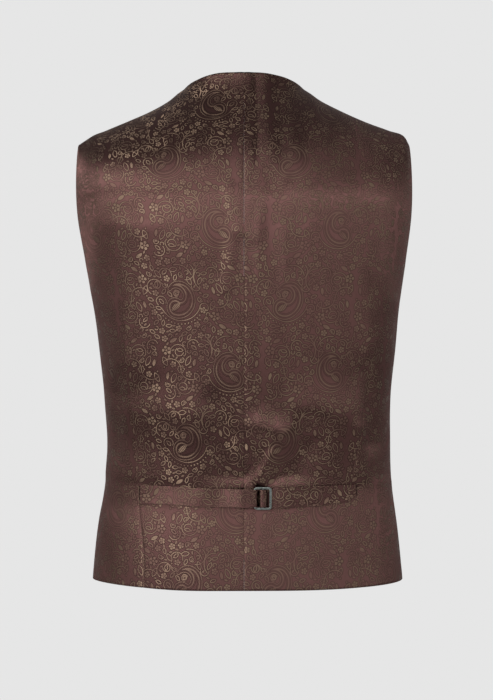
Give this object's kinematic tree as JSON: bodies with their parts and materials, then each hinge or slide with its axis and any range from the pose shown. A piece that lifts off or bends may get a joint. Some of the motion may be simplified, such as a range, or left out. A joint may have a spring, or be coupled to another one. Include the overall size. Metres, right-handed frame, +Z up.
{
  "type": "suit waistcoat",
  "caption": "Tailored suit waistcoat in its worn hollow shape: patterned satin back with waist darts and a buckled adjuster strap, plain cloth fronts with a V neck and hem points, buttoned.",
  "frame": {"origin": "midway between the wearer's shoulders that hold the waistcoat up, 0.500 m above the back hem", "axes": "+Z up, -Y towards the front that the wearer faces, +X towards the wearer's left"},
  "size_m": [0.3614, 0.2484, 0.567],
  "materials": {
    "satin_jacquard": "lustrous satin jacquard, plum brown ground with a tan outlined paisley figure",
    "suit_cloth": "plain matt worsted suit cloth, dark brown",
    "gunmetal": "smooth plated metal, dull grey",
    "dark_horn": "polished dark brown horn look"
  },
  "bodies": {
    "root": {"back_left": "satin_jacquard", "back_right": "satin_jacquard", "front_left": "suit_cloth", "front_right": "suit_cloth", "strap_left": "satin_jacquard", "strap_right": "satin_jacquard", "buckle": "gunmetal", "button_1": "dark_horn", "button_2": "dark_horn", "button_3": "dark_horn", "button_4": "dark_horn", "button_5": "dark_horn"}
  },
  "joints": []
}
